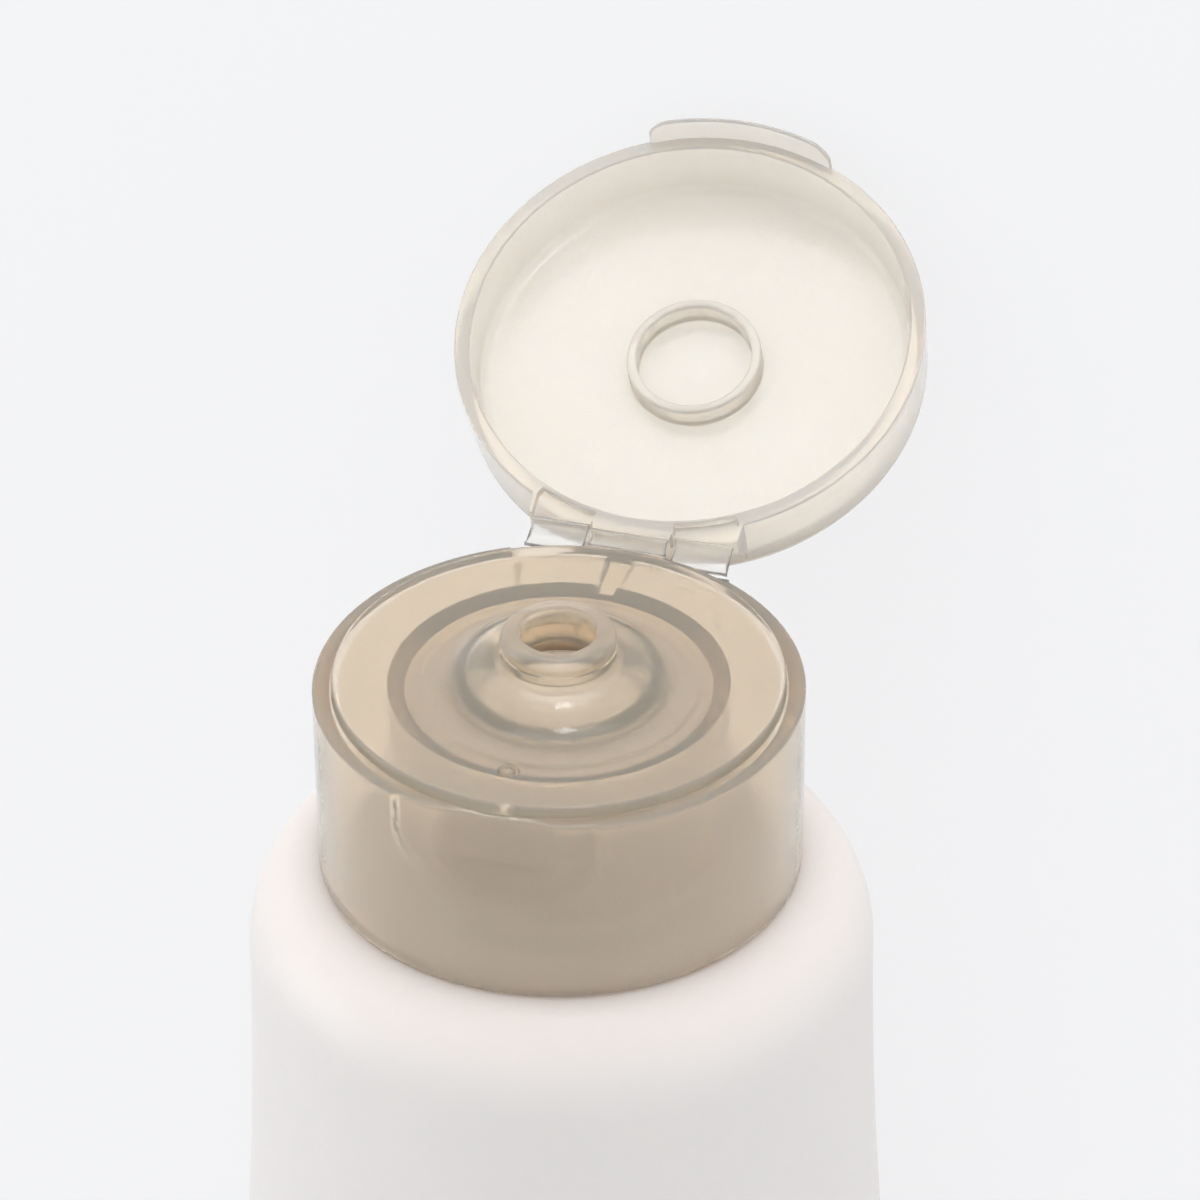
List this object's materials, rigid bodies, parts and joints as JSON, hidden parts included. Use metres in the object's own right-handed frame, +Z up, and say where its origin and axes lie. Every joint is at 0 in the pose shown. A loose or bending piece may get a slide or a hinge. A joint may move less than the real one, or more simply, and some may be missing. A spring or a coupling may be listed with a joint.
{
  "type": "face wash tube",
  "caption": "Soft crimped squeeze tube with a translucent flip-top cap; hinged lid stands open over a raised nozzle, lying on its back.",
  "frame": {"origin": "on the floor, below the middle of the whole lying tube's box", "axes": "+Z up from the floor; +Y along the tube from the crimped end to the open lid; +X across, along the hinge"},
  "size_m": [0.077, 0.1868, 0.0683],
  "materials": {
    "tube_plastic": "milky soft-touch satin",
    "face_wash": "wet white cream",
    "cap_plastic": "translucent smoke-beige, fine satin",
    "hinge_film": "thin clear film",
    "lid_plastic": "translucent smoke-beige, fine satin"
  },
  "bodies": {
    "tube": {"tube_body": "tube_plastic", "cream_fill": "face_wash"},
    "cap": {"cap_base": "cap_plastic", "hinge_web": "hinge_film"},
    "lid": {"flip_lid": "lid_plastic"}
  },
  "joints": [
    {"name": "cap_pull", "type": "slide", "parent": "tube", "child": "cap", "axis": [0, 0.9487, 0.3163], "range_m": [0, 0.016]},
    {"name": "lid_hinge", "type": "hinge", "parent": "cap", "child": "lid", "pos_m": [0, 0.06503, 0.0324], "axis": [1, 0, 0], "range_deg": [-9.5, 155.5], "deforming": ["hinge_web"]}
  ]
}
